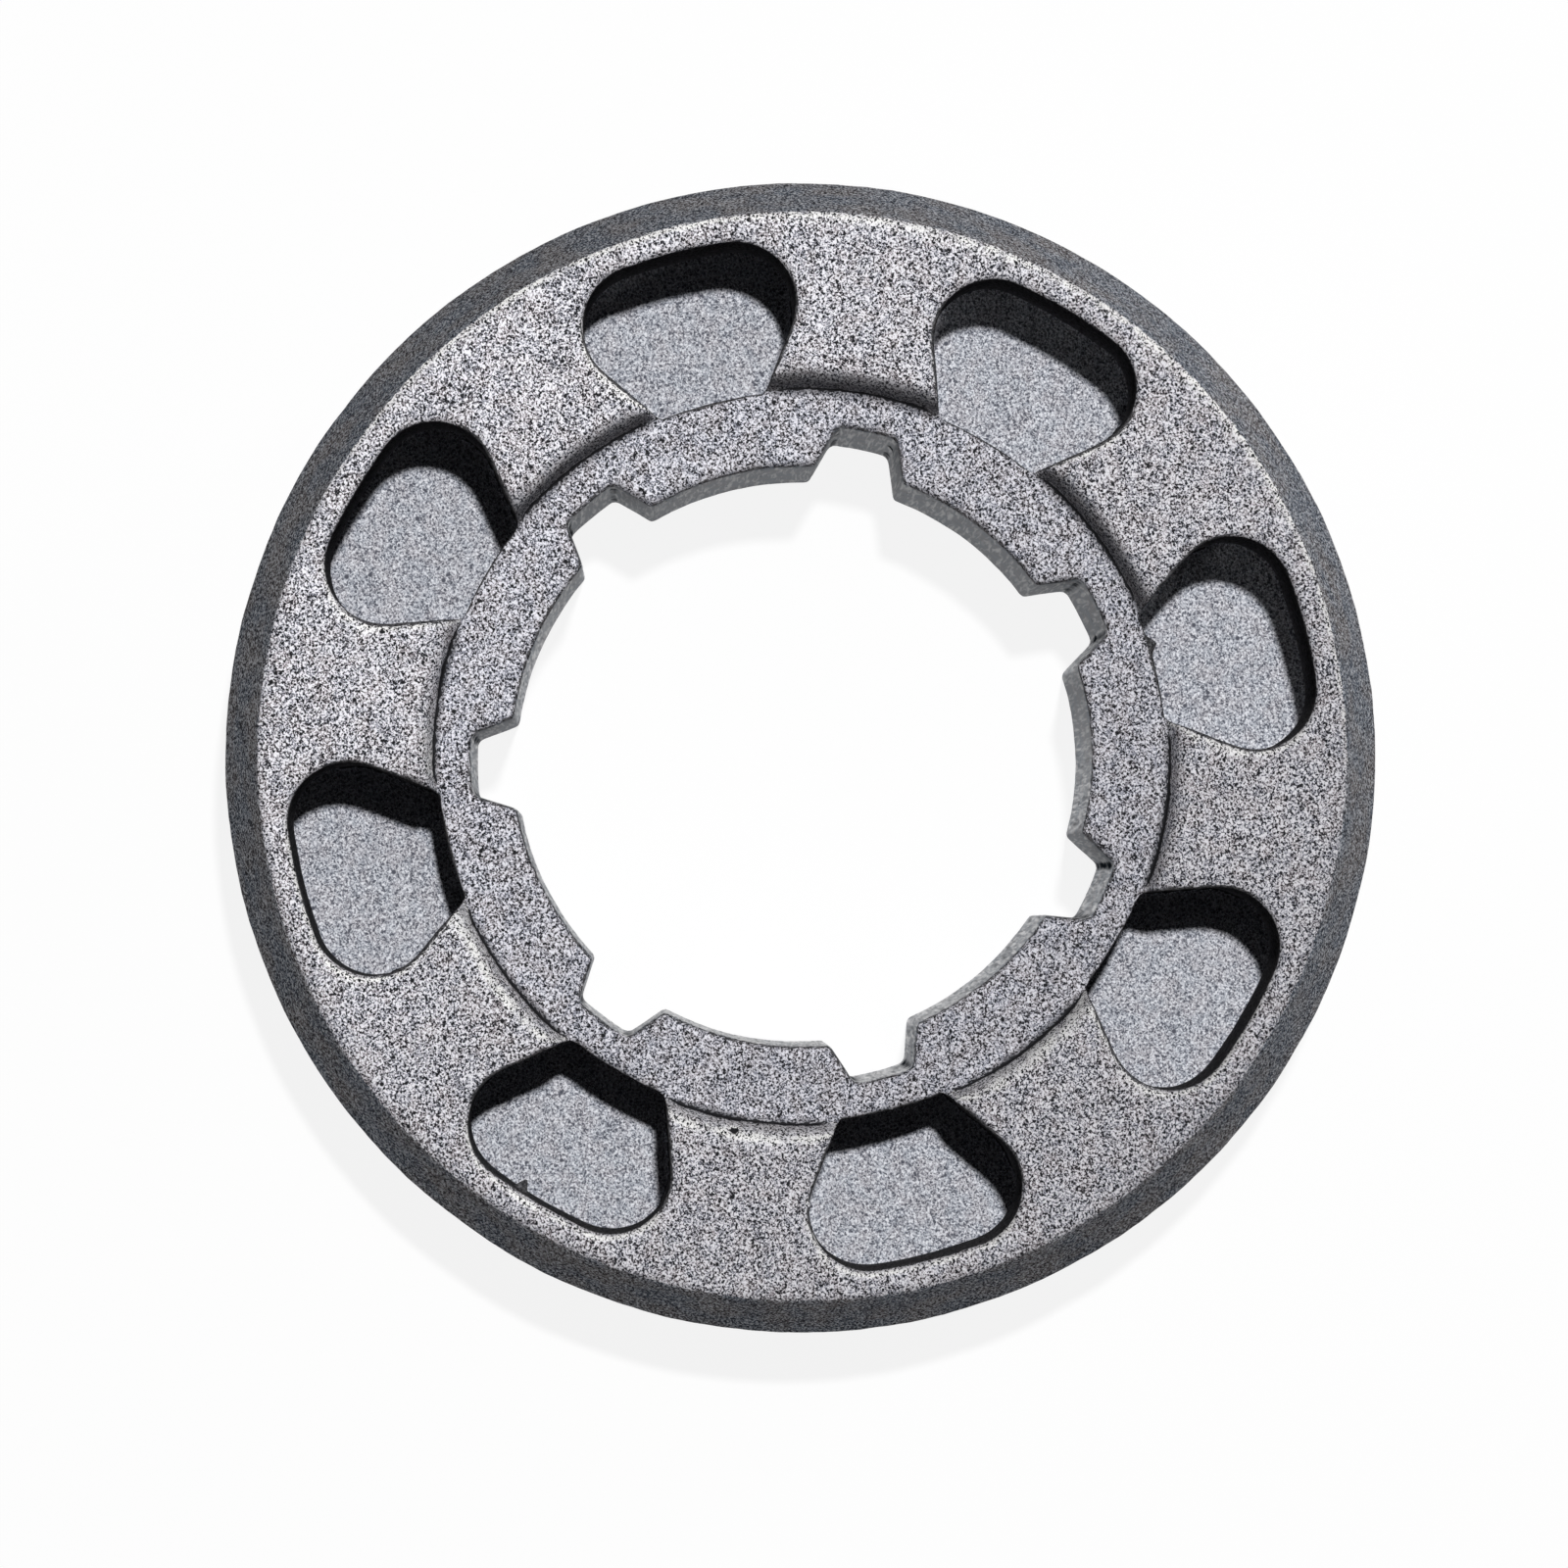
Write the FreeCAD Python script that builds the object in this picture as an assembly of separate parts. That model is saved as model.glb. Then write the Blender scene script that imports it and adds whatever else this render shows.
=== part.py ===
import FreeCAD, Part
import math
import os

from FreeCAD import Vector

# Rim sprocket of a chainsaw: one steel casting that slides on the splined hub of the clutch drum.
# The bore's axis is Z, the closed back face lies on z = 0 and the windowed front face looks up.
# The middle of the first pocket and of the first spline groove are on +X.
# Driving dimensions, in millimetres and degrees.

# The rim that the chain's side straps ride on, and the steep bevel of its two flanges
rim_diameter = 35.8
rim_height = 12.0
bevel_width = 1.12
bevel_height = 3.0
front_edge_radius = 0.25

# The splined bore and the hub ring round it
land_diameter = 17.82
groove_depth = 1.26
groove_count = 7
groove_root_width = 1.82
groove_flank_angle = 19.0
spline_corner_radius = 0.18
bore_edge_break = 0.12
hub_wall = 1.13
hub_recess = 1.0
flange_lip_draft = 17.0
flange_lip_radius = 0.45

# The pockets that take the chain's drive links: a window in the front flange over a slot in the rim
pocket_count = 8
back_flange = 5.0
link_gauge = 1.6
link_side_clearance = 0.2
rim_wall = 1.97
window_width = 6.57
window_throat = 3.33
window_corner_radius = 1.81
window_edge_break = 0.12
slot_mouth_length = 8.8

# The largest share of its wall that a rounding may take
lip_share_of_step = 0.9
corner_share_of_window = 0.4

# Sizes that follow from them
rim_radius = rim_diameter / 2
land_radius = land_diameter / 2
groove_root_radius = land_radius + groove_depth
hub_radius = groove_root_radius + hub_wall
hub_face = rim_height - hub_recess
lip_run = hub_recess * math.tan(math.radians(flange_lip_draft))
lip_radius = min(flange_lip_radius, lip_share_of_step * hub_recess)
window_reach = rim_radius - rim_wall
slot_width = link_gauge + 2 * link_side_clearance

# Each window corner's circle touches the window's outer arc from within, and fits between hub and rim
corner_room = min(window_reach - hub_radius, window_width)
corner_radius = min(window_corner_radius, corner_share_of_window * corner_room)
corner_offset = window_width / 2 - corner_radius
corner_distance = math.sqrt((window_reach - corner_radius) ** 2 - corner_offset ** 2)

# How far a cutting tool runs past the metal, and how close two levels are that count as one
overrun = 1.0
level_tolerance = 0.001


def polar(radius, degrees, z=0.0):
    """Point at a radius and an angle about the bore's axis."""
    angle = math.radians(degrees)
    return Vector(radius * math.cos(angle), radius * math.sin(angle), z)


def arc(start, middle, end):
    return Part.Arc(start, middle, end).toShape()


def line(start, end):
    return Part.LineSegment(start, end).toShape()


def rounded_profile(corners):
    """Closed face through (radius, height, rounding) corners in the XZ plane."""
    points = [Vector(radius, 0, height) for radius, height, rounding in corners]
    entries = []
    exits = []
    edges = []
    for index, corner in enumerate(points):
        rounding = corners[index][2]
        back = (points[index - 1] - corner).normalize()
        ahead = (points[(index + 1) % len(points)] - corner).normalize()
        half_angle = back.getAngle(ahead) / 2
        setback = rounding / math.tan(half_angle)
        entries.append(corner + back * setback)
        exits.append(corner + ahead * setback)
        if rounding > 0:
            inward = (back + ahead).normalize()
            crown = corner + inward * (rounding / math.sin(half_angle) - rounding)
            edges.append(arc(entries[-1], crown, exits[-1]))
    for index, start in enumerate(exits):
        edges.append(line(start, entries[(index + 1) % len(entries)]))
    return Part.Face(Part.Wire(Part.__sortEdges__(edges)))


def make_blank():
    """Turned form of the casting: two bevelled flanges and a hub ring below the front one's drafted lip."""
    stock_radius = land_radius - overrun
    profile = rounded_profile([
        (stock_radius, 0, 0),
        (rim_radius - bevel_width, 0, 0),
        (rim_radius, bevel_height, 0),
        (rim_radius, rim_height - bevel_height, 0),
        (rim_radius - bevel_width, rim_height, front_edge_radius),
        (hub_radius + lip_run, rim_height, lip_radius),
        (hub_radius, hub_face, 0),
        (stock_radius, hub_face, 0),
    ])
    return profile.revolve(Vector(0, 0, 0), Vector(0, 0, 1), 360)


def spline_section():
    """Bore outline: lands on the bore's circle, between grooves whose flanks spread towards the axis."""
    half_root = groove_root_width / 2
    root_distance = math.sqrt(groove_root_radius ** 2 - half_root ** 2)
    slope = math.tan(math.radians(groove_flank_angle))
    # The flank x = half_root + slope * (root_distance - y) meets the land's circle at this distance y
    reach = half_root + slope * root_distance
    square = 1 + slope ** 2
    land_distance = (slope * reach + math.sqrt(square * land_radius ** 2 - reach ** 2)) / square
    half_mouth = half_root + slope * (root_distance - land_distance)
    mouth_angle = math.degrees(math.atan2(half_mouth, land_distance))
    root_angle = math.degrees(math.atan2(half_root, root_distance))
    pitch = 360 / groove_count
    edges = []
    for groove in range(groove_count):
        middle = groove * pitch
        mouth_start = polar(land_radius, middle - mouth_angle)
        root_start = polar(groove_root_radius, middle - root_angle)
        root_end = polar(groove_root_radius, middle + root_angle)
        mouth_end = polar(land_radius, middle + mouth_angle)
        next_mouth = polar(land_radius, middle + pitch - mouth_angle)
        edges.append(line(mouth_start, root_start))
        edges.append(arc(root_start, polar(groove_root_radius, middle), root_end))
        edges.append(line(root_end, mouth_end))
        edges.append(arc(mouth_end, polar(land_radius, middle + pitch / 2), next_mouth))
    return Part.Face(Part.Wire(edges))


def make_bore_tool():
    """Splined bore with its corners rounded, running past both faces of the hub."""
    length = hub_face + 2 * overrun
    prism = spline_section().extrude(Vector(0, 0, length))
    prism.translate(Vector(0, 0, -overrun))
    corners = [edge for edge in prism.Edges if abs(edge.BoundBox.ZLength - length) < level_tolerance]
    return prism.makeFillet(spline_corner_radius, corners)


def window_outline(spread, z):
    """Wire of a drive link's window on +X, every side but the hub's moved out by spread."""
    centre = Vector(corner_distance, corner_offset, z)
    half_throat = window_throat / 2
    throat = Vector(math.sqrt(hub_radius ** 2 - half_throat ** 2), half_throat, z)
    # The flank leaves the throat and touches the corner's circle on its outer side
    to_centre = centre - throat
    turn = math.asin(corner_radius / to_centre.Length)
    heading = math.atan2(to_centre.y, to_centre.x) + turn
    along = Vector(math.cos(heading), math.sin(heading), 0)
    outward = Vector(-along.y, along.x, 0)
    flank_end = centre + outward * (corner_radius + spread)
    # The spread flank runs back to the hub's circle
    level_end = Vector(flank_end.x, flank_end.y, 0)
    run = level_end.dot(along)
    reach_back = run - math.sqrt(run ** 2 - level_end.Length ** 2 + hub_radius ** 2)
    flank_start = flank_end - along * reach_back
    # The corner's arc turns from the flank's normal to the ray through the corner's centre
    normal_angle = math.degrees(math.atan2(outward.y, outward.x))
    outer_angle = math.degrees(math.atan2(centre.y, centre.x))
    corner_middle = centre + polar(corner_radius + spread, (normal_angle + outer_angle) / 2)
    corner_end = polar(window_reach + spread, outer_angle, z)

    def mirrored(point):
        return Vector(point.x, -point.y, point.z)

    edges = [
        line(flank_start, flank_end),
        arc(flank_end, corner_middle, corner_end),
        arc(corner_end, polar(window_reach + spread, 0, z), mirrored(corner_end)),
        arc(mirrored(corner_end), mirrored(corner_middle), mirrored(flank_end)),
        line(mirrored(flank_end), mirrored(flank_start)),
        arc(mirrored(flank_start), polar(hub_radius, 0, z), flank_start),
    ]
    return Part.Wire(edges)


def make_window_tool():
    """Window from the back flange's inner face up through the front flange, its front edge broken."""
    depth = rim_height + overrun - back_flange
    shaft = Part.Face(window_outline(0, back_flange)).extrude(Vector(0, 0, depth))
    # The flare runs as far above the face as below it, so the face cuts it at half its spread
    flare_bottom = window_outline(0, rim_height - window_edge_break)
    flare_top = window_outline(2 * window_edge_break, rim_height + window_edge_break)
    return shaft.fuse(Part.makeLoft([flare_bottom, flare_top], True, True))


def make_slot_tool():
    """Slot that lets a drive link's tang in through the rim, widening from the window to its mouth."""
    # Its ends pass through the window's widest points, and start a little inside the window
    flare = (slot_mouth_length - window_width) / 2 / (rim_radius - corner_distance)
    inner = corner_distance - corner_radius / 2
    outer = rim_radius + overrun
    half_inner = window_width / 2 + flare * (inner - corner_distance)
    half_outer = window_width / 2 + flare * (outer - corner_distance)
    outline = Part.makePolygon([
        Vector(inner, -half_inner, back_flange),
        Vector(outer, -half_outer, back_flange),
        Vector(outer, half_outer, back_flange),
        Vector(inner, half_inner, back_flange),
        Vector(inner, -half_inner, back_flange),
    ])
    return Part.Face(outline).extrude(Vector(0, 0, slot_width))


def around(tool, count):
    """Copies of a tool, evenly spaced about the bore."""
    copies = []
    for index in range(count):
        copy = tool.copy()
        copy.rotate(Vector(0, 0, 0), Vector(0, 0, 1), index * 360 / count)
        copies.append(copy)
    return copies


def break_bore_edge(casting):
    """Small chamfer on the bore's edge at the hub face."""
    widest = groove_root_radius + hub_wall / 2
    edges = []
    for edge in casting.Edges:
        box = edge.BoundBox
        on_hub_face = max(abs(box.ZMin - hub_face), abs(box.ZMax - hub_face)) < level_tolerance
        if on_hub_face and all(math.hypot(vertex.X, vertex.Y) < widest for vertex in edge.Vertexes):
            edges.append(edge)
    return casting.makeChamfer(bore_edge_break, edges)


def make_rim():
    """The whole casting: the blank, less its pockets and its splined bore."""
    pocket = make_window_tool().fuse(make_slot_tool()).removeSplitter()
    casting = make_blank().cut(around(pocket, pocket_count)).cut(make_bore_tool())
    return break_bore_edge(casting.Solids[0])


rim = make_rim()
os.makedirs("parts", exist_ok=True)
rim.exportStep("parts/rim.step")
print("rim:", len(rim.Solids), "solid,", len(rim.Faces), "faces, valid", rim.isValid())
print("rim: volume", round(rim.Volume, 1), "mm3, box", rim.optimalBoundingBox(True, False))
print("rim: hub ring radius", round(hub_radius, 3), "window reach", round(window_reach, 3))
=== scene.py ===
# %% [markdown]
# # A blasted steel casting: the rim sprocket of a chainsaw
#
# The part is one small casting, 35.8 mm across: two bevelled flanges, a hub ring with a splined bore,
# and eight pockets for the tangs of the chain's drive links. The CAD model gives its true form and size.
# This lesson keeps that form and adds what a CAD model doesn't have: edges softened by shot blasting, the
# slight unevenness of a foundry mould, small casting faults, and a finish for each kind of surface.
# Everything is in metres and in the frame of the CAD part: Z is the bore's axis, the back lies on z = 0.

# %% Load the CAD part
import math

import bmesh
import bpy
import numpy as np
from mathutils import Matrix, Vector


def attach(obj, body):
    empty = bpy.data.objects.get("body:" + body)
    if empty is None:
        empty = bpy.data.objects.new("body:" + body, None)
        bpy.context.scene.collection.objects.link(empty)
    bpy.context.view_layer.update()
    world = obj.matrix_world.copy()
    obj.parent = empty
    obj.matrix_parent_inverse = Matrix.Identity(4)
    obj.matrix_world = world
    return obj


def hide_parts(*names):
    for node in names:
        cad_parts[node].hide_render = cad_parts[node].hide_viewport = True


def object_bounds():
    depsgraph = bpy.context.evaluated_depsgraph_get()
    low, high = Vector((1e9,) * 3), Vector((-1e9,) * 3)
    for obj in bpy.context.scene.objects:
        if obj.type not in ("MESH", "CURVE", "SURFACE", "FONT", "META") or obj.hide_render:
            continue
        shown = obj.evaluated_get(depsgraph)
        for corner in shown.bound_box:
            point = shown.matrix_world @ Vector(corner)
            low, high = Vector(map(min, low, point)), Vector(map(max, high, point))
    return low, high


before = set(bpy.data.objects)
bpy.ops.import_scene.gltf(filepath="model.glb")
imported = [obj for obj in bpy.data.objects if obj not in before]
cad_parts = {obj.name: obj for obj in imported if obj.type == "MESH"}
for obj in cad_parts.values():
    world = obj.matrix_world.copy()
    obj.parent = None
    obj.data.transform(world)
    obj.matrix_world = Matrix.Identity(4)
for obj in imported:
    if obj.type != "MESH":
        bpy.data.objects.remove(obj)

MM = 0.001
scene = bpy.context.scene
cad_low, cad_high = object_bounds()
front_height = round(cad_high.z / MM, 3)
print("CAD box in mm:", [round(side / MM, 3) for side in cad_high - cad_low])

# %% [markdown]
# ## The camera
#
# The photograph looks almost straight down the bore through a long lens. In the picture the part is turned
# on its axis, so one rotation leads from "right and up in the picture" to the part's own X and Y. The lens
# length follows from how much larger the front face looks than the back edge of the bore.
# The camera comes first, because it also tells where a spot seen in the photograph lies on the part.

# %% Camera where the photographer stood
picture_pixels = 1600
# Degrees from the part's +X to the picture's right
picture_angle = 75.65
picture_turn = Matrix.Rotation(math.radians(picture_angle), 3, "Z")


def from_picture(right, up, out):
    """Point in the part's frame, from millimetres to the picture's right, up and out towards the lens."""
    return picture_turn @ Vector((right, up, out)) * MM


camera_place = from_picture(right=-4.69, up=-4.69, out=294)
camera_target = from_picture(right=-0.57, up=-0.865, out=front_height)
backward = (camera_place - camera_target).normalized()
rightward = from_picture(0, 1, 0).cross(backward).normalized()
upward = backward.cross(rightward)

lens = bpy.data.cameras.new("photo_lens")
lens.sensor_width = 36.0
lens.lens = 210.7
camera = bpy.data.objects.new("photo_camera", lens)
camera.matrix_world = Matrix((rightward, upward, backward)).transposed().to_4x4()
camera.location = camera_place
scene.collection.objects.link(camera)
scene.camera = camera
print("camera", round(camera_place.length / MM), "mm from the part's origin")

# %% [markdown]
# ## From CAD mesh to casting
#
# A CAD mesh has long thin triangles and knife-sharp edges. A casting has neither: shot blasting rounds
# every edge a little, and no face is quite even. A voxel remesh turns the whole solid into small even
# quads, which smoothing and displacement can then move. It needs a closed mesh, so a copy of the CAD mesh
# is welded first. The CAD object itself stays as it is. Bevelling the edges one by one would give the same
# even radius everywhere, and that is what makes a model look machined.

# %% Weld a copy and remesh it
weld_distance = 0.0001 * MM
voxel_size = 0.1 * MM


def add_modifier(piece, kind, **settings):
    modifier = piece.modifiers.new(kind.lower(), kind)
    for name, value in settings.items():
        setattr(modifier, name, value)


def apply_modifiers(piece):
    """Gives a piece the mesh that its modifiers make."""
    graph = bpy.context.evaluated_depsgraph_get()
    finished = bpy.data.meshes.new_from_object(piece.evaluated_get(graph), depsgraph=graph)
    piece.modifiers.clear()
    piece.data = finished
    return finished


rim_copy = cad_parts["rim"].data.copy()
rim_copy.materials.clear()
welded = bmesh.new()
welded.from_mesh(rim_copy)
bmesh.ops.remove_doubles(welded, verts=welded.verts, dist=weld_distance)
open_edges = sum(not edge.is_manifold for edge in welded.edges)
welded.to_mesh(rim_copy)
welded.free()
print("welded copy:", len(rim_copy.vertices), "points,", open_edges, "open edges")

casting = bpy.data.objects.new("rim_casting", rim_copy)
scene.collection.objects.link(casting)
add_modifier(casting, "REMESH", mode="VOXEL", voxel_size=voxel_size, use_smooth_shade=True)
remeshed = apply_modifiers(casting)
print("remeshed:", len(remeshed.polygons), "faces")

# %% [markdown]
# ## Blasted edges
#
# Two rounds of smoothing take every corner off a little. Some edges are rounder than the rest in the
# photograph: those of the front flange along its lip and its windows, and the hub ring's edge where it
# borders a window. They could be sculpted by hand. Here a vertex group picks out the zones that they lie
# in, and a second Smooth modifier works on that group alone, so every run rounds them in the same way.

# %% Round the edges
smooth_share = 0.5
rounds_everywhere = 2
rounds_on_soft_edges = 12
# Where the soft edges lie, in millimetres and degrees
flange_edge_level = 11.2
flange_edge_reach = 16.3
hub_face = 11.0
hub_edge_height = 0.35
hub_edge_radius = 11.25
hub_edge_width = 0.25
window_count = 8
window_pitch = 360 / window_count
half_pitch = window_pitch / 2
window_half_angle = 7.5


def read_vectors(items, name):
    values = np.empty(len(items) * 3, np.float32)
    items.foreach_get(name, values)
    return values.reshape(-1, 3)


def point_group(name, inside):
    group = casting.vertex_groups.new(name=name)
    group.add(np.flatnonzero(inside).tolist(), 1.0, "REPLACE")
    return group.name


east, north, level = (read_vectors(remeshed.vertices, "co") / MM).T
from_axis = np.hypot(east, north)
beside_window = np.abs((np.degrees(np.arctan2(north, east)) + half_pitch) % window_pitch - half_pitch)
flange_edges = (level > flange_edge_level) & (from_axis < flange_edge_reach)
at_hub_face = np.abs(level - hub_face) < hub_edge_height
at_hub_edge = np.abs(from_axis - hub_edge_radius) < hub_edge_width
hub_edges = at_hub_face & at_hub_edge & (beside_window < window_half_angle)
soft_edges = point_group("soft_edges", flange_edges | hub_edges)
add_modifier(casting, "SMOOTH", factor=smooth_share, iterations=rounds_everywhere)
add_modifier(casting, "SMOOTH", factor=smooth_share, iterations=rounds_on_soft_edges,
             vertex_group=soft_edges)
print("soft edges:", flange_edges.sum(), "points on the flange,", hub_edges.sum(), "on the hub ring")

# %% [markdown]
# ## Foundry skin
#
# No face of a casting is quite flat: the mould leaves long shallow waves, and its sand leaves short lumps.
# A bump in the material could pretend that, but outlines would stay straight and the exported mesh plain.
# So two Displace modifiers move the skin itself. They only go inwards, and the casting never grows past
# its CAD size. The clouds are read in the object's own coordinates, so every run is the same.

# %% Roughen the skin
def uneven_skin(name, wavelength, depth):
    """Lets the surface sink by up to a depth, in clouds of a wavelength, both in millimetres."""
    clouds = bpy.data.textures.new(name, "CLOUDS")
    clouds.noise_scale = wavelength * MM
    clouds.noise_depth = 1
    settings = {"texture": clouds, "texture_coords": "LOCAL", "mid_level": 1.0}
    add_modifier(casting, "DISPLACE", strength=depth * MM, **settings)


uneven_skin("mould_waves", wavelength=2.2, depth=0.05)
uneven_skin("sand_lumps", wavelength=0.6, depth=0.02)
skin = apply_modifiers(casting)
print("fine casting mesh:", len(skin.polygons), "faces")

# %% [markdown]
# ## Casting faults
#
# The photograph shows a few faults: a nib of metal on the wall of one window, a nub at the edge of the hub
# ring, a pit on the flange's lip, and a nib and a pit on its webs. Each is a small hill or hollow along the
# surface's own normals, fading out like a bell. A pit also has a wider and lower hill, for its raised rim.
# A brush could model them, but a pixel of the photograph and a ray from the camera put each one where it
# belongs. The two on the webs come out faint: the next step cuts off what stands above the CAD face, and
# the pit there only takes back a part of its own raised rim.

# %% Find the faults
def photo_point(column, row, height):
    """Place on the part, at a height in millimetres, that the photograph shows at a pixel."""
    scale = lens.sensor_width / lens.lens
    across = (column / picture_pixels - 0.5) * scale
    above = (0.5 - row / picture_pixels) * scale
    ray = rightward * across + upward * above - backward
    return camera_place + ray * ((height * MM - camera_place.z) / ray.z)


faults = {
    "window nib": photo_point(column=531, row=1214, height=10.5),
    "hub nub": photo_point(column=1177, row=657, height=10.6),
    "lip pit": photo_point(column=749, row=1152, height=11.85),
    "web nib": photo_point(column=824, row=1231, height=11.9),
    "web pit": photo_point(column=808, row=362, height=11.9),
}
for name, spot in faults.items():
    print(name, "at", [round(x / MM, 2) for x in spot], "mm")

# %% Nibs and pits
def swell(fault, reach, height):
    """Moves the skin near a fault along its normals: a hill for a height above 0, else a pit."""
    places = read_vectors(skin.vertices, "co")
    normals = read_vectors(skin.vertex_normals, "vector")
    distance = np.linalg.norm(places - np.array(faults[fault]), axis=1)
    bell = np.exp(-(distance / (reach * MM)) ** 2)
    places += normals * (bell * height * MM)[:, None]
    skin.vertices.foreach_set("co", places.ravel())
    skin.update()
    print(fault, "moves the skin by", round(float(bell.max()) * height, 2), "mm at most")


swell("window nib", reach=0.17, height=0.42)
swell("hub nub", reach=0.2, height=0.5)
swell("lip pit", reach=0.32, height=0.06)
swell("lip pit", reach=0.14, height=-0.4)
swell("web nib", reach=0.11, height=0.16)
swell("web pit", reach=0.3, height=0.09)
swell("web pit", reach=0.11, height=-0.3)

# %% [markdown]
# ## A mesh that can be used
#
# The fine mesh has several times more triangles than the limit below allows. A coarser remesh would lose
# the small edges. The Decimate modifier keeps small triangles where the form bends and merges them where it
# is nearly flat. Then every point is brought back into the CAD cylinder, in case smoothing or a fault has
# pushed one out.

# %% Decimate and keep inside the CAD size
triangle_limit = 190000
skin.calc_loop_triangles()
share = triangle_limit / len(skin.loop_triangles)
add_modifier(casting, "DECIMATE", ratio=share, use_collapse_triangulate=True)
skin = apply_modifiers(casting)

rim_radius = cad_high.x
points = read_vectors(skin.vertices, "co")
radii = np.hypot(points[:, 0], points[:, 1])
points[:, :2] *= np.minimum(1, rim_radius / radii)[:, None]
points[:, 2] = points[:, 2].clip(cad_low.z, cad_high.z)
skin.vertices.foreach_set("co", points.ravel())
skin.shade_smooth()
skin.update()

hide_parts("rim")
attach(casting, "root")
print("casting:", len(skin.polygons), "triangles, a share of", round(share, 3), "of the fine mesh")

# %% [markdown]
# ## Where edges and hollows are
#
# Inner corners are darkened as painted shade, where scale also stays, and outer edges that face the flash
# get a painted highlight. A mask for that has to know how the surface bends. Along each mesh edge, the turn
# of the normal says whether the skin bulges or hollows there. For the painted highlight and shade, each
# normal is compared with the direction that the flash comes from, and the result is blurred along the mesh,
# so that it also reaches the flat skin beside an edge. Cycles has a Pointiness value for bends, but it knows
# no direction. So both are measured here and stored on the mesh as attributes, which any material can read.

# %% Neighbours on the mesh
point_count = len(skin.vertices)
edge_ends = np.empty(len(skin.edges) * 2, np.int32)
skin.edges.foreach_get("vertices", edge_ends)
first, second = edge_ends.reshape(-1, 2).T
neighbours = np.bincount(first, minlength=point_count) + np.bincount(second, minlength=point_count)


def gather(at_first, at_second):
    """Mean at each point of what the edges that meet there bring to their two ends."""
    total = np.bincount(first, at_first, point_count) + np.bincount(second, at_second, point_count)
    return total / neighbours


def blurred(values, rounds):
    for _ in range(rounds):
        values = (values + gather(values[second], values[first])) / 2
    return values


print("points:", point_count, "with", round(neighbours.mean(), 1), "neighbours on average")

# %% Bend of the skin, and its side towards the flash
bend_blur = 3
light_facing_blur = 6
shown_percentiles = (2, 50, 98)


def store(name, values):
    attribute = skin.attributes.new(name, "FLOAT", "POINT")
    attribute.data.foreach_set("value", values.astype(np.float32))
    print(name, "at percentiles", shown_percentiles, np.percentile(values, shown_percentiles).round(2))


normals = read_vectors(skin.vertex_normals, "vector")
step = points[first] - points[second]
turn = normals[first] - normals[second]
# How fast the normal turns along an edge, in radians a millimetre
bend_along = (turn * step).sum(axis=1) / (step ** 2).sum(axis=1) * MM
store("edge_bend", blurred(gather(bend_along, bend_along), bend_blur))

# Which way the flash comes from, seen from above, for the painted highlight and painted shade
light_from = from_picture(right=0.25, up=1, out=0).normalized()
store("light_facing", blurred(normals @ np.array(light_from), light_facing_blur))

# %% [markdown]
# ## Which surface is which
#
# The flange face and its lip, the hub ring, the floors of the pockets and their walls, the rim's bevels,
# the track between them that the chain's straps run on, and the bore all have a finish of their own. They
# could be picked by hand, but not again after another remesh. So each triangle is told apart by how far it
# is from the axis, how high it lies and which way it looks, and gets the number of its material.

# %% Where each triangle lies and looks
finish_names = ["flange_face", "flange_lip", "hub_ring", "pocket_floor", "pocket_wall", "rim_bevel",
                "strap_track", "bore_wall"]
centres = read_vectors(skin.polygons, "center") / MM
facing = read_vectors(skin.polygons, "normal")
radius = np.hypot(centres[:, 0], centres[:, 1])
height = centres[:, 2]
# The upward share of a normal is 1 for a level face and 0 for an upright one
looks_up = facing[:, 2]
# Its outward share is 1 for an upright face that looks straight away from the axis
looks_out = (facing[:, 0] * centres[:, 0] + facing[:, 1] * centres[:, 1]) / radius
surface = np.full(len(centres), finish_names.index("pocket_wall"))
print("triangles lie", round(float(radius.min()), 2), "to", round(float(radius.max()), 2), "mm off the axis")


def mark(name, where):
    """Gives triangles to a surface, also those that another one had before."""
    surface[where] = finish_names.index(name)
    print(name, "gets", int(where.sum()), "triangles")


# %% Floors, flange, lip and hub ring
hub_radius = 11.3
hub_margin = 0.1
hub_drop = 0.3
lip_width = 1.0
flange_foot = 11.08
bevel_start = 16.55
pocket_ceiling = 7.6
back_depth = 1.0
# Least upward shares of the normal, and for the back the greatest
level_face = 0.78
floor_face = 0.6
rounded_face = 0.3
lip_face = 0.1
back_face = -0.75
# Greatest outward shares of faces that look at the axis
rounding_inward = -0.3
lip_inward = -0.25

mark("pocket_floor", (looks_up > floor_face) & (height < pocket_ceiling))
is_level = looks_up > level_face
on_top = height > flange_foot
roundings = (looks_up > rounded_face) & ((radius > bevel_start) | (looks_out < rounding_inward))
on_back = (height < back_depth) & (looks_up < back_face)
mark("flange_face", on_top & (is_level | roundings) | on_back)
lip_slope = (looks_out < lip_inward) & (looks_up > lip_face)
mark("flange_lip", on_top & (radius < hub_radius + lip_width) & (is_level | lip_slope))
at_hub_height = (height > hub_face - hub_drop) & (height < flange_foot)
mark("hub_ring", (radius < hub_radius + hub_margin) & at_hub_height & is_level)

# %% Rim and bore
rim_outward = 0.6
bore_limit = 10.45
# Greatest shares of the normal along the axis, up or down
bevel_slope = 0.72
track_slope = 0.18
bore_slope = 0.45

slope = np.abs(looks_up)
on_rim = (radius > bevel_start) & (looks_out > rim_outward)
mark("rim_bevel", on_rim & (slope < bevel_slope))
mark("strap_track", on_rim & (slope < track_slope))
mark("bore_wall", (radius < bore_limit) & (slope < bore_slope))
skin.polygons.foreach_set("material_index", surface.astype(np.int32))
print("left as pocket_wall:", int((surface == finish_names.index("pocket_wall")).sum()), "triangles")
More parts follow.
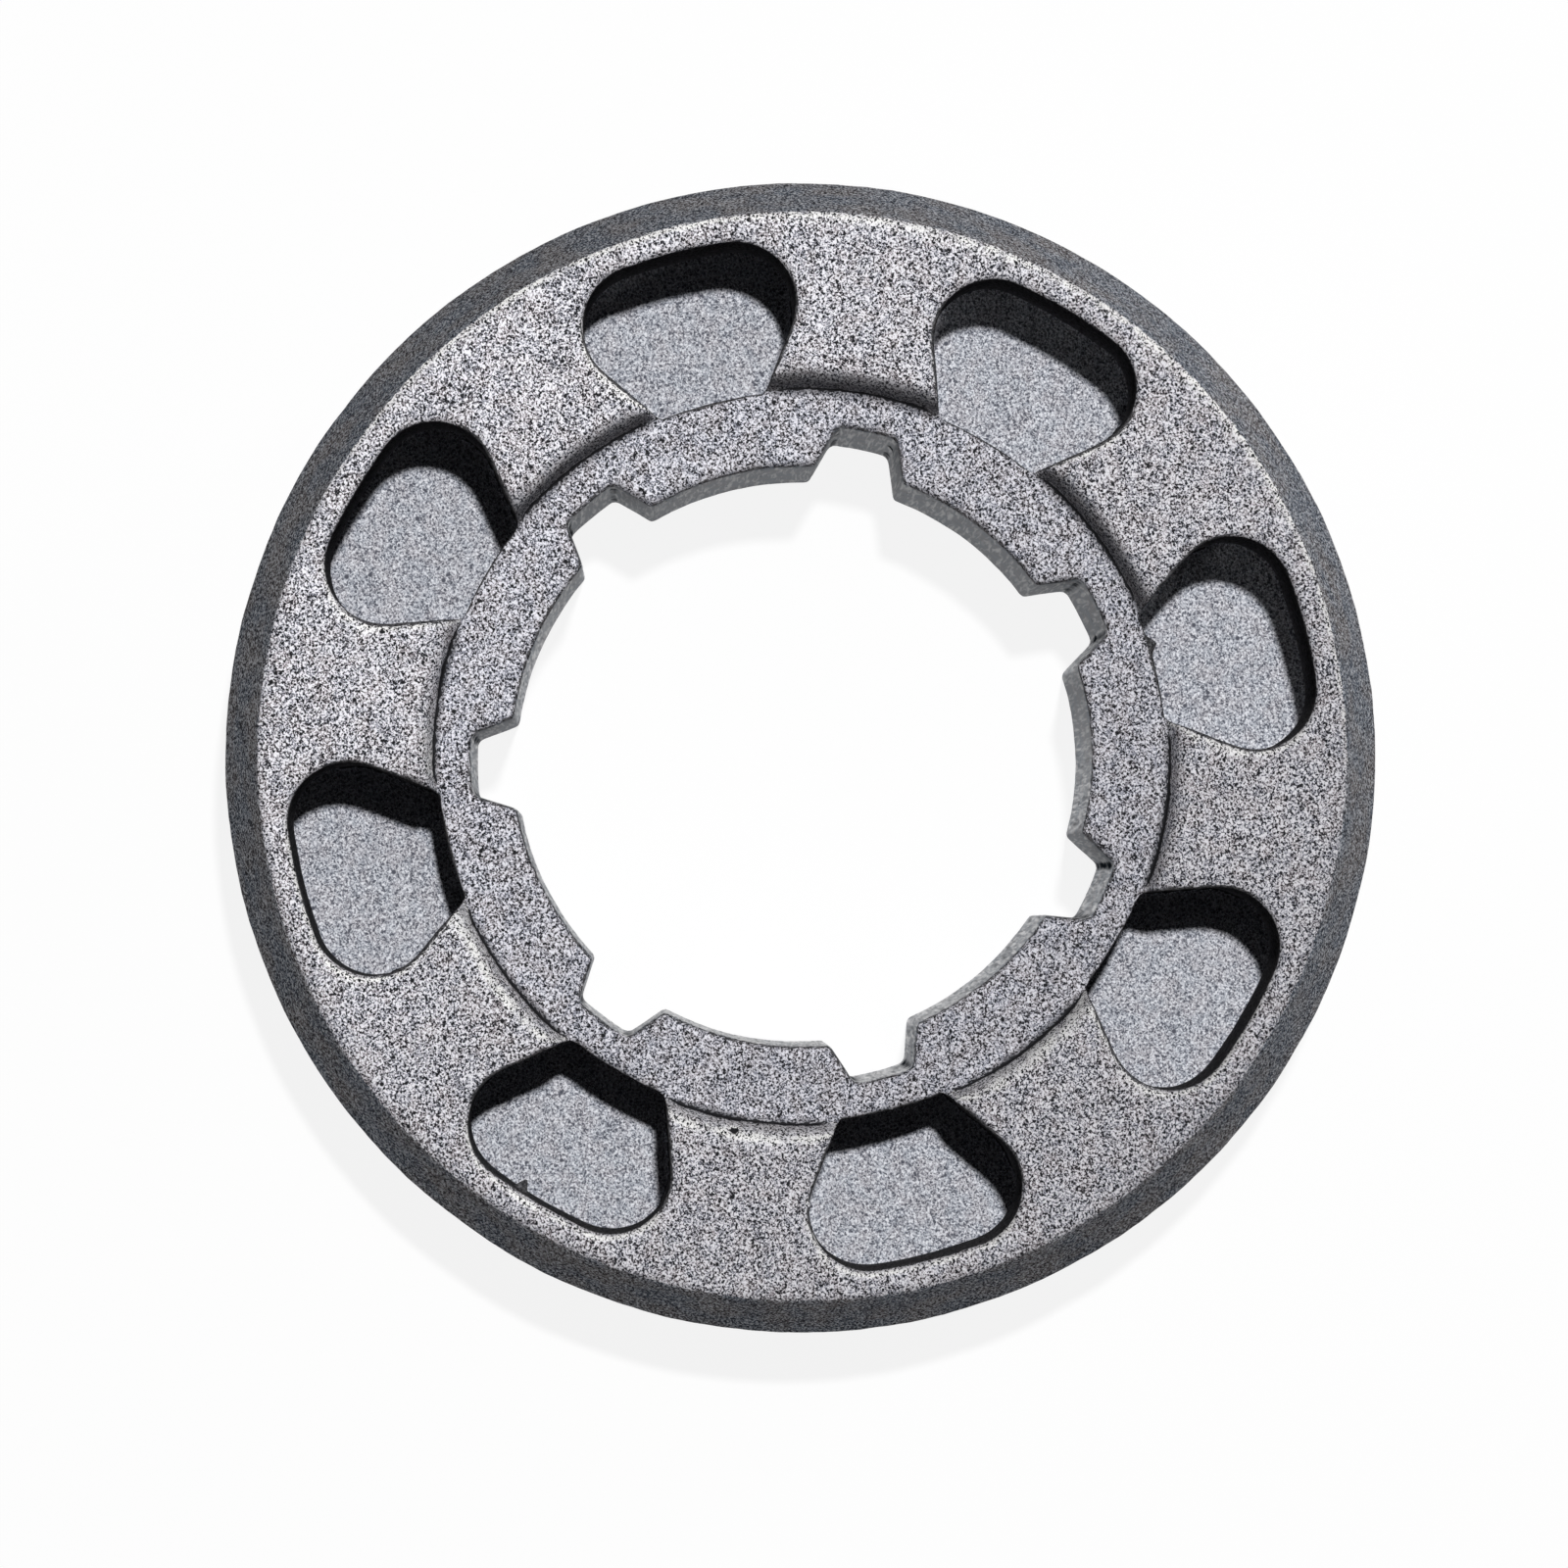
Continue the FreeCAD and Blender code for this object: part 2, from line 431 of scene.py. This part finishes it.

# %% [markdown]
# ## Shared effects
#
# These surfaces have the same things in different amounts: grain, pinholes, a tint in patches, and painted
# light and shade on edges and corners. Each of the four is a node group with named sockets, built once and
# placed in every material with its own values. Copies of the nodes in each material would look the same, but
# a change would have to be made eight times. A group only gives out masks, colours and heights, and the
# material decides what they do. The patterns are read in millimetres, from the object's own coordinates.

# %% Helpers for nodes, sockets and groups
def add_node(tree, kind, **settings):
    node = tree.nodes.new(kind)
    for name, value in settings.items():
        setattr(node, name, value)
    return node


def feed(tree, socket, source):
    """Gives a node's input a plain value, or links it to an output."""
    if isinstance(source, bpy.types.NodeSocket):
        tree.links.new(source, socket)
    else:
        socket.default_value = source


def new_group(name, inputs, outputs):
    """Shader group with named sockets, as (name, kind, default) and (name, kind)."""
    tree = bpy.data.node_groups.new(name, "ShaderNodeTree")
    for label, kind, default in inputs:
        tree.interface.new_socket(label, in_out="INPUT", socket_type=kind).default_value = default
    for label, kind in outputs:
        tree.interface.new_socket(label, in_out="OUTPUT", socket_type=kind)
    return tree, add_node(tree, "NodeGroupInput").outputs, add_node(tree, "NodeGroupOutput").inputs


# %% [markdown]
# ## Blast grain
#
# Under a lens, a blasted surface is a field of small dents, dark in the pits and light on the crests
# between them. A picture of steel could be laid over it, but noise has no seams and doesn't repeat. One fine
# noise gives three things: pits where it is low, peaks where it is high, and itself as a height. Where the
# coordinate is squeezed along the axis, the grains are drawn out into the long lines that a broach leaves
# in a bore.

# %% Helpers for patterns
def millimetres(tree, shift=(0, 0, 0)):
    """Object coordinates in millimetres, moved by a shift."""
    place = add_node(tree, "ShaderNodeTexCoord").outputs["Object"]
    mapping = add_node(tree, "ShaderNodeMapping")
    feed(tree, mapping.inputs["Vector"], place)
    feed(tree, mapping.inputs["Location"], shift)
    feed(tree, mapping.inputs["Scale"], [1 / MM] * 3)
    return mapping.outputs["Vector"]


def noise(tree, place, per_mm, detail, twist=0.0):
    node = add_node(tree, "ShaderNodeTexNoise")
    feed(tree, node.inputs["Vector"], place)
    feed(tree, node.inputs["Scale"], per_mm)
    feed(tree, node.inputs["Detail"], detail)
    feed(tree, node.inputs["Distortion"], twist)
    return node.outputs["Fac"]


def ramp(tree, value, low, high, start=0.0, end=1.0):
    """Straight rise of a value: start below low, end above high."""
    node = add_node(tree, "ShaderNodeMapRange")
    sources = {"Value": value, "From Min": low, "From Max": high, "To Min": start, "To Max": end}
    for label, source in sources.items():
        feed(tree, node.inputs[label], source)
    return node.outputs["Result"]


# %% Blast grain: pits, bright peaks and a height
grain_group, given, result = new_group(
    "blast_grain",
    [("Grains per mm", "NodeSocketFloat", 12.0), ("Pit level", "NodeSocketFloat", 0.25),
     ("Peak level", "NodeSocketFloat", 0.9), ("Squeeze in Z", "NodeSocketFloat", 1.0)],
    [("Pits", "NodeSocketFloat"), ("Peaks", "NodeSocketFloat"), ("Height", "NodeSocketFloat")],
)
ground_level = 0.48
grain_twist = 0.8

axis_scale = add_node(grain_group, "ShaderNodeCombineXYZ")
for axis, factor in (("X", 1.0), ("Y", 1.0), ("Z", given["Squeeze in Z"])):
    feed(grain_group, axis_scale.inputs[axis], factor)
squeezed = add_node(grain_group, "ShaderNodeVectorMath", operation="MULTIPLY")
feed(grain_group, squeezed.inputs[0], millimetres(grain_group))
feed(grain_group, squeezed.inputs[1], axis_scale.outputs["Vector"])
grains = noise(grain_group, squeezed.outputs["Vector"], given["Grains per mm"], detail=0.0,
               twist=grain_twist)
feed(grain_group, result["Pits"], ramp(grain_group, grains, given["Pit level"], ground_level, 1.0, 0.0))
feed(grain_group, result["Peaks"], ramp(grain_group, grains, ground_level, given["Peak level"]))
feed(grain_group, result["Height"], grains)
print("blast_grain:", len(grain_group.nodes), "nodes")

# %% [markdown]
# ## Pinholes
#
# Gas in the melt leaves pores, which open as small dark holes. Modelled ones would cost many triangles for
# little to see. A Voronoi texture fills the space with points, and only a point that lies very close to the
# skin leaves a round spot on it, so the holes are few and differ in width.

# %% Pinholes: a few dark pores
pore_group, given, result = new_group(
    "pinholes",
    [("Cells per mm", "NodeSocketFloat", 1.0), ("Radius", "NodeSocketFloat", 0.09)],
    [("Holes", "NodeSocketFloat")],
)
full_dark_share = 0.6


def math_node(tree, operation, first, second):
    node = add_node(tree, "ShaderNodeMath", operation=operation)
    feed(tree, node.inputs[0], first)
    feed(tree, node.inputs[1], second)
    return node.outputs[0]


cells = add_node(pore_group, "ShaderNodeTexVoronoi")
feed(pore_group, cells.inputs["Vector"], millimetres(pore_group, shift=(5, 2, 8)))
feed(pore_group, cells.inputs["Scale"], given["Cells per mm"])
inner = math_node(pore_group, "MULTIPLY", given["Radius"], full_dark_share)
holes = ramp(pore_group, cells.outputs["Distance"], inner, given["Radius"], 1.0, 0.0)
feed(pore_group, result["Holes"], holes)
print("pinholes:", len(pore_group.nodes), "nodes")

# %% [markdown]
# ## Foundry tint
#
# Heat and scale leave patches that are a little bluer or browner than the rest. One flat grey would look
# like plastic, and two greys mixed by a broad noise are enough.

# %% Foundry tint: cool and warm patches
tint_group, given, result = new_group(
    "foundry_tint",
    [("Cool", "NodeSocketColor", (0.36, 0.37, 0.40, 1)), ("Warm", "NodeSocketColor", (0.40, 0.37, 0.37, 1)),
     ("Patches per mm", "NodeSocketFloat", 1.6)],
    [("Colour", "NodeSocketColor")],
)
cool_below = 0.4
warm_above = 0.62
# The Mix node has sockets for every kind of data, and these are the places of the colours
colour_a = 6
colour_b = 7
mixed_colour = 2


def mix_colour(tree, share, first, second):
    node = add_node(tree, "ShaderNodeMix", data_type="RGBA")
    feed(tree, node.inputs["Factor"], share)
    feed(tree, node.inputs[colour_a], first)
    feed(tree, node.inputs[colour_b], second)
    return node.outputs[mixed_colour]


patches = noise(tint_group, millimetres(tint_group, shift=(3, 9, 2)), given["Patches per mm"], detail=3.0)
warmth = ramp(tint_group, patches, cool_below, warm_above)
feed(tint_group, result["Colour"], mix_colour(tint_group, warmth, given["Cool"], given["Warm"]))
print("foundry_tint:", len(tint_group.nodes), "nodes")

# %% [markdown]
# ## Painted light and shade on edges
#
# Edges that face the flash get a painted highlight, faces turned away from it get painted shade, one side
# of the ring is painted a little darker as shade, and inner corners are darkened as painted shade, where
# scale also stays. The same bright line along every edge would be easier, but it is the mark of a model and
# not of this casting. So the group reads the two attributes. The painted highlight fades on the steep wall
# beyond an edge, and in patches, which leaves a narrow broken band.

# %% Painted highlight on edges that face the flash
edge_light_group, given, result = new_group(
    "edge_light_and_shade",
    [("Edge tilt", "NodeSocketFloat", 0.3), ("Corner bend", "NodeSocketFloat", 0.35),
     ("Side shade", "NodeSocketFloat", 0.0), ("Away shade", "NodeSocketFloat", 0.0)],
    [("Painted bright", "NodeSocketFloat"), ("Painted dark", "NodeSocketFloat")],
)
# Shares of the edge tilt where the painted highlight starts, begins to fade on a wall, and ends
highlight_start = 0.27
fade_start = 1.4
fade_end = 2.33
left_on_walls = 0.2
patches_per_mm = 2.2
dull_patch = 0.3
bright_patch = 0.55

side = add_node(edge_light_group, "ShaderNodeAttribute", attribute_name="light_facing").outputs["Fac"]
start_tilt = math_node(edge_light_group, "MULTIPLY", given["Edge tilt"], highlight_start)
wall_tilt = math_node(edge_light_group, "MULTIPLY", given["Edge tilt"], fade_start)
full_wall_tilt = math_node(edge_light_group, "MULTIPLY", given["Edge tilt"], fade_end)
rounding = ramp(edge_light_group, side, start_tilt, given["Edge tilt"])
off_walls = ramp(edge_light_group, side, wall_tilt, full_wall_tilt, 1.0, left_on_walls)
edges = math_node(edge_light_group, "MULTIPLY", rounding, off_walls)
patchy = noise(edge_light_group, millimetres(edge_light_group, shift=(7, 1, 4)), patches_per_mm, detail=3.0)
highlight_patches = ramp(edge_light_group, patchy, dull_patch, bright_patch)
feed(edge_light_group, result["Painted bright"], math_node(edge_light_group, "MULTIPLY", edges, highlight_patches))
print("edge_light_and_shade, highlighted edges:", len(edge_light_group.nodes), "nodes")

# %% Painted shade: inner corners, faces turned from the flash, one side of the ring
# Shares of the corner bend, with a hollow's sign, where the dark starts and where it is full
corner_start = -1.0
corner_full = -2.5
away_shade_start = -0.08
away_shade_full = -0.45
# One side of the ring is painted darker, as shade, away from this direction
painted_bright_side = from_picture(right=-0.87, up=0.5, out=0).normalized()
ring_reach = rim_radius / MM

bend = add_node(edge_light_group, "ShaderNodeAttribute", attribute_name="edge_bend").outputs["Fac"]
start_bend = math_node(edge_light_group, "MULTIPLY", given["Corner bend"], corner_start)
full_bend = math_node(edge_light_group, "MULTIPLY", given["Corner bend"], corner_full)
# Painted shade in inner corners, where scale also stays
corners = ramp(edge_light_group, bend, full_bend, start_bend, 1.0, 0.0)
across = add_node(edge_light_group, "ShaderNodeVectorMath", operation="DOT_PRODUCT")
feed(edge_light_group, across.inputs[0], millimetres(edge_light_group))
feed(edge_light_group, across.inputs[1], painted_bright_side)
# Painted shade that darkens the ring towards one side
far = ramp(edge_light_group, across.outputs["Value"], -ring_reach, ring_reach, given["Side shade"], 0.0)
# Painted shade on faces turned away from the flash
away_shade = ramp(edge_light_group, side, away_shade_full, away_shade_start, given["Away shade"], 0.0)
shaded = math_node(edge_light_group, "MAXIMUM", far, away_shade)
feed(edge_light_group, result["Painted dark"], math_node(edge_light_group, "MAXIMUM", corners, shaded))
print("edge_light_and_shade:", len(edge_light_group.nodes), "nodes")

# %% [markdown]
# ## One recipe for all surfaces
#
# Blasted steel isn't a mirror. Its brightness is in its colour: a grey with dark pits and light crests. A
# little metal in the shader adds the soft sheen that the photograph shows, and only the bore, which a
# broach has scraped bare, is mostly metal. Pits, pores and painted shade lose their metal, or they would
# mirror the white floor. The grain's height goes into a bump, which stays shallow on the faces, because a
# deep one would scatter their sheen. What is the same all over a surface is set on the shader itself.

# %% The recipe
# Near-white of the painted highlight on edges that face the flash
highlight_white = (0.93, 0.92, 0.91, 1)
# A tilt that no face reaches, for surfaces without a painted highlight on edges
unreached_tilt = 9.0


def cast_finish(name, cool, warm, pit, bright, grain, levels, metal, rough, bump,
                patches=1.6, edge=unreached_tilt, corner=0.35, far=0.0, away_shade=0.0, squeeze=1.0):
    """Material of a cast surface. The levels are the grain's values at a full pit and at a full peak.
    Metal and rough are pairs, for the plain skin and for its peaks. The bump is in millimetres."""
    material = bpy.data.materials.new(name)
    material.use_nodes = True
    tree = material.node_tree
    shader = tree.nodes["Principled BSDF"]
    pit_level, peak_level = levels

    def place(group, values):
        node = add_node(tree, "ShaderNodeGroup", node_tree=group)
        for label, value in values.items():
            node.inputs[label].default_value = value
        return node.outputs

    tint = place(tint_group, {"Cool": (*cool, 1), "Warm": (*warm, 1), "Patches per mm": patches})
    blast = place(grain_group, {"Grains per mm": grain, "Pit level": pit_level, "Peak level": peak_level,
                                "Squeeze in Z": squeeze})
    edge_light = place(edge_light_group, {"Edge tilt": edge, "Corner bend": corner, "Side shade": far, "Away shade": away_shade})
    holes = place(pore_group, {})["Holes"]

    def on_peaks(plain, peak):
        return plain if plain == peak else ramp(tree, blast["Peaks"], 0, 1, plain, peak)

    # The dark share takes in pits, pores and the painted shade of the edge group
    dark = math_node(tree, "MAXIMUM", math_node(tree, "MAXIMUM", blast["Pits"], edge_light["Painted dark"]), holes)
    colour = mix_colour(tree, blast["Peaks"], tint["Colour"], (*bright, 1))
    # Painted highlight: edges that face the flash are mixed towards near-white
    colour = mix_colour(tree, edge_light["Painted bright"], colour, highlight_white)
    feed(tree, shader.inputs["Base Color"], mix_colour(tree, dark, colour, (*pit, 1)))
    if any(metal):
        bare = math_node(tree, "SUBTRACT", 1.0, dark)
        feed(tree, shader.inputs["Metallic"], math_node(tree, "MULTIPLY", bare, on_peaks(*metal)))
    feed(tree, shader.inputs["Roughness"], on_peaks(*rough))
    feed(tree, shader.inputs["Specular IOR Level"], 0.0)
    relief = add_node(tree, "ShaderNodeBump")
    feed(tree, relief.inputs["Height"], blast["Height"])
    feed(tree, relief.inputs["Distance"], bump * MM)
    feed(tree, shader.inputs["Normal"], relief.outputs["Normal"])
    casting.data.materials.append(material)
    print(name, "has", len(tree.nodes), "nodes")


# %% [markdown]
# ## The open faces
#
# The flange face, its lip and the hub ring lay open to the shot, so they are light, with a fine grain,
# sharp dark pits and a soft sheen. They share most values, and one material could do for all three. But
# the lip and the hub ring also get painted shade where they face away from the flash, which darkens half of
# the step between them, and only the flange's edges get a painted highlight. All three are painted a little
# darker towards one side of the ring, as shade.

# %% Flange, lip and hub ring
# The far value paints shade on one side of the ring
open_steel = {"pit": (0.02, 0.02, 0.022), "grain": 16.0, "metal": (0.05, 0.06), "rough": (0.42, 0.42),
              "bump": 0.006, "far": 0.3}
# The edge value gives the flange a painted highlight on edges that face the flash
flange_steel = {"cool": (0.275, 0.279, 0.326), "warm": (0.332, 0.302, 0.320), "bright": (0.80, 0.79, 0.83),
                "levels": (0.37, 0.64), "edge": 0.3}
cast_finish("flange_face", **open_steel, **flange_steel)
cast_finish("flange_lip", **open_steel, **flange_steel, away_shade=0.75)
cast_finish("hub_ring", **open_steel, cool=(0.264, 0.273, 0.325), warm=(0.313, 0.294, 0.317),
            bright=(0.76, 0.755, 0.81), levels=(0.36, 0.66), corner=0.8, away_shade=0.5)

# %% [markdown]
# ## Pockets, rim and bore
#
# The walls of the pockets are painted dark, as the shade in them, and the shot left their floors pale and
# dull. The bevels are darker than the faces, with larger patches. The track between them is taken to be
# blasted like the faces. The bore gets its long lines from the squeezed grain, and it is the only one with
# much metal. Its walls get a painted highlight where they face the flash and painted shade where they face
# away.

# %% Pockets, rim and bore
cast_finish("pocket_floor", cool=(0.39, 0.412, 0.466), warm=(0.42, 0.414, 0.452), pit=(0.10, 0.105, 0.13),
            bright=(0.84, 0.85, 0.90), grain=16.0, levels=(0.29, 0.76), metal=(0.0, 0.0),
            rough=(0.7, 0.6), bump=0.02, corner=1.4)
# Painted shade: the walls are coloured far darker than the steel, as the shade in the pockets
cast_finish("pocket_wall", cool=(0.075, 0.075, 0.080), warm=(0.085, 0.080, 0.082), pit=(0.03, 0.03, 0.033),
            bright=(0.16, 0.16, 0.17), grain=12.0, levels=(0.3, 0.75), metal=(0.0, 0.0),
            rough=(0.75, 0.6), bump=0.02)
cast_finish("rim_bevel", cool=(0.098, 0.116, 0.148), warm=(0.153, 0.138, 0.137), pit=(0.04, 0.04, 0.045),
            bright=(0.39, 0.40, 0.425), grain=14.0, levels=(0.35, 0.70), metal=(0.05, 0.2),
            rough=(0.66, 0.55), bump=0.03, patches=0.7)
cast_finish("strap_track", cool=(0.300, 0.306, 0.350), warm=(0.350, 0.325, 0.340), pit=(0.03, 0.03, 0.033),
            bright=(0.72, 0.71, 0.75), grain=16.0, levels=(0.36, 0.66), metal=(0.05, 0.06),
            rough=(0.45, 0.45), bump=0.006)
# Painted highlight on bore walls that face the flash, painted shade on those turned away
cast_finish("bore_wall", cool=(0.25, 0.278, 0.315), warm=(0.29, 0.285, 0.30), pit=(0.020, 0.027, 0.036),
            bright=(0.5, 0.5, 0.51), grain=9.0, levels=(-0.2, 0.80), metal=(0.6, 0.8),
            rough=(0.42, 0.35), bump=0.01, edge=1.6, away_shade=0.4, squeeze=0.04)

# %% [markdown]
# ## Floor
#
# The part lies on a plain white floor. Lamps strong enough to make it white would burn out the part. So for
# the camera, and in reflections, the floor is nearly white by itself, with a rest of plain shading that
# keeps the part's shadow. To all other rays it throws back less light than white paper would, so that the
# flanks stay grey.

# %% Floor
floor_radius = 1.2
floor_sides = 96
floor_glow = 0.88
floor_white = 0.95
floor_bounce = 0.45

floor_mesh = bpy.data.meshes.new("floor")
disc = bmesh.new()
bmesh.ops.create_circle(disc, cap_ends=True, segments=floor_sides, radius=floor_radius)
disc.to_mesh(floor_mesh)
disc.free()
floor = bpy.data.objects.new("floor", floor_mesh)
scene.collection.objects.link(floor)
print("floor:", 2 * floor_radius, "m across")

# %% White for the camera
def seen_directly(tree):
    """1 for rays from the camera, a mirror or glass, else 0."""
    path = add_node(tree, "ShaderNodeLightPath").outputs
    reflected = math_node(tree, "MAXIMUM", path["Is Glossy Ray"], path["Is Transmission Ray"])
    return math_node(tree, "MAXIMUM", path["Is Camera Ray"], reflected)


paper = bpy.data.materials.new("white_floor")
paper.use_nodes = True
tree = paper.node_tree
tree.nodes.remove(tree.nodes["Principled BSDF"])
dull_paper = add_node(tree, "ShaderNodeBsdfDiffuse")
seen = seen_directly(tree)
feed(tree, dull_paper.inputs["Color"], ramp(tree, seen, 0, 1, floor_bounce, floor_white))
glow = add_node(tree, "ShaderNodeEmission")
blend = add_node(tree, "ShaderNodeMixShader")
feed(tree, blend.inputs["Fac"], math_node(tree, "MULTIPLY", seen, floor_glow))
feed(tree, blend.inputs[1], dull_paper.outputs["BSDF"])
feed(tree, blend.inputs[2], glow.outputs["Emission"])
feed(tree, tree.nodes["Material Output"].inputs["Surface"], blend.outputs["Shader"])
floor_mesh.materials.append(paper)
print(paper.name, "has", len(tree.nodes), "nodes")

# %% [markdown]
# ## Lamps and sky
#
# The photograph was taken with one small flash just above the lens: faces that look at it are bright, the
# windows have short dark shadows and steep flanks fall away into grey. A large soft lamp would fill those
# shadows, so a small disc lamp makes the light. A second one stands low beside the part, where it reaches
# the bevels but hardly the floors of the pockets, and a weak sky fills the rest.

# %% Lamps
lamp_aim = from_picture(right=0, up=0, out=front_height)


def disc_lamp(name, place, size, level):
    """Round lamp that looks at the part; at level 1, a white sheet on the part renders white."""
    lamp = bpy.data.lights.new(name, "AREA")
    lamp.shape = "DISK"
    lamp.size = size * MM
    lamp.energy = level * math.pi ** 2 * (place - lamp_aim).length_squared
    holder = bpy.data.objects.new(name, lamp)
    holder.location = place
    holder.rotation_mode = "QUATERNION"
    holder.rotation_quaternion = (place - lamp_aim).to_track_quat("Z", "Y")
    holder.visible_camera = False
    scene.collection.objects.link(holder)
    print(name, "has", round(lamp.energy, 3), "watts")


disc_lamp("flash", from_picture(right=24, up=92, out=500), size=18, level=0.95)
disc_lamp("soft_fill", from_picture(right=150, up=100, out=14), size=20, level=0.36)

# %% Sky
sky_level = 0.03
world = bpy.data.worlds.new("studio")
scene.world = world
world.use_nodes = True
tree = world.node_tree
sky = tree.nodes["Background"]
feed(tree, sky.inputs["Color"], (1, 1, 1, 1))
feed(tree, sky.inputs["Strength"], ramp(tree, seen_directly(tree), 0, 1, sky_level, 1.0))
scene.view_settings.view_transform = "Standard"
print("sky at", sky_level, "and white for the camera")
